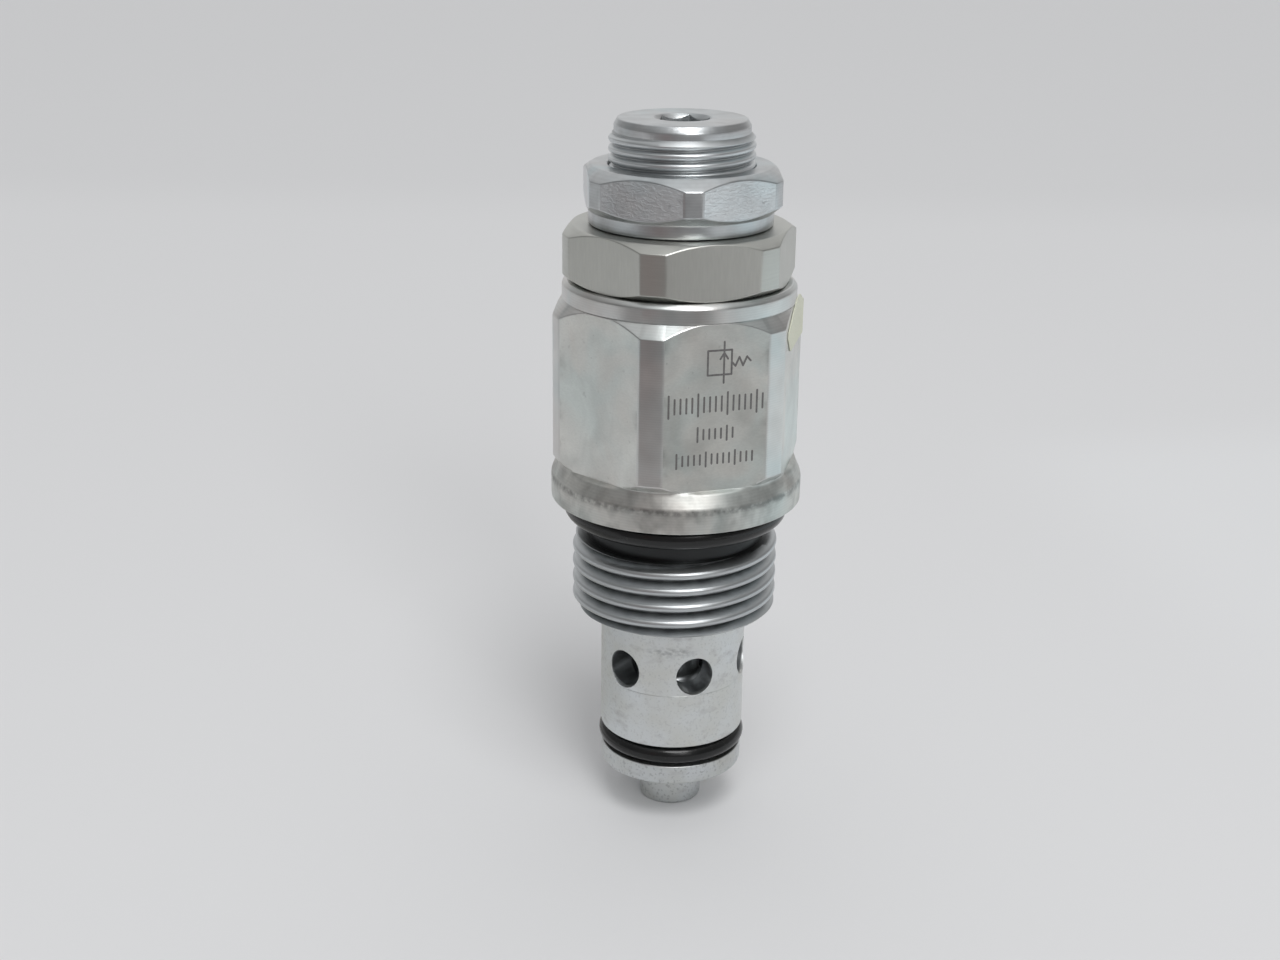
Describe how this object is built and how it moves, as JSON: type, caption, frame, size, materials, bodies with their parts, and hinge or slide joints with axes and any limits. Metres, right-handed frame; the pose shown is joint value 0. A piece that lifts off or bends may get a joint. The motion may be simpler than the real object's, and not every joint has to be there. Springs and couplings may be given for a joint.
{
  "type": "cartridge valve",
  "caption": "Screw-in hydraulic relief cartridge: threaded hexagon body, ported nose with seal rings, sprung poppet, cap, lock nut and key-set adjusting screw.",
  "frame": {"origin": "centre of the inlet tip's end face, on the cartridge's axis", "axes": "+Z along the cartridge's axis from the inlet tip to the adjusting screw; -Y is the way the marked flat of the body's hexagon faces"},
  "size_m": [0.0268, 0.0268, 0.0764],
  "materials": {
    "zinc_plate": "zinc plated, satin",
    "plain_steel": "unplated, fine turned and milled",
    "sleeve_steel": "matte, ground",
    "hardened_steel": "hardened and ground",
    "spring_steel": "oiled spring wire",
    "seal_rubber": "satin black nitrile",
    "backup_plastic": "natural white",
    "label_paper": "matte, pale yellow"
  },
  "bodies": {
    "housing": {"valve_body": "zinc_plate", "boss_o_ring": "seal_rubber", "nose_sleeve": "sleeve_steel", "nose_o_ring": "seal_rubber", "inlet_seat": "sleeve_steel", "end_cap": "plain_steel", "cap_o_ring": "seal_rubber", "blank_label": "label_paper", "main_spring": "spring_steel"},
    "poppet_set": {"poppet": "hardened_steel", "damping_piston": "hardened_steel", "pivot_ball": "hardened_steel", "lower_spring_seat": "hardened_steel", "shim_washer": "hardened_steel"},
    "spring_carrier": {"upper_spring_seat": "hardened_steel"},
    "adjuster": {"adjusting_screw": "zinc_plate", "adjuster_o_ring": "seal_rubber", "adjuster_backup_ring": "backup_plastic"},
    "nut_seal": {"lock_nut_seal": "backup_plastic"},
    "nut": {"lock_nut": "zinc_plate"}
  },
  "joints": [
    {"name": "poppet_lift", "type": "slide", "parent": "housing", "child": "poppet_set", "axis": [0, 0, 1], "range_m": [0, 0.0015], "stiffness_N_per_m": 200, "springref_m": -0.002},
    {"name": "adjuster_travel", "type": "slide", "parent": "housing", "child": "spring_carrier", "axis": [0, 0, 1], "range_m": [-0.004, 0.0015], "deforming": ["main_spring"]},
    {"name": "adjuster_turn", "type": "hinge", "parent": "spring_carrier", "child": "adjuster", "pos_m": [0, 0, 0.065], "axis": [0, 0, 1], "range_deg": [-1440, 540]},
    {"name": "lock_nut_travel", "type": "slide", "parent": "housing", "child": "nut_seal", "axis": [0, 0, 1], "range_m": [0, 0.003]},
    {"name": "lock_nut_turn", "type": "hinge", "parent": "nut_seal", "child": "nut", "pos_m": [0, 0, 0.0688], "axis": [0, 0, 1], "range_deg": [0, 1080]}
  ],
  "couplings": [
    {"joint": "adjuster_turn", "follows": "adjuster_travel", "rad_per_m": 6283.2},
    {"joint": "lock_nut_turn", "follows": "lock_nut_travel", "rad_per_m": 6283.2}
  ]
}
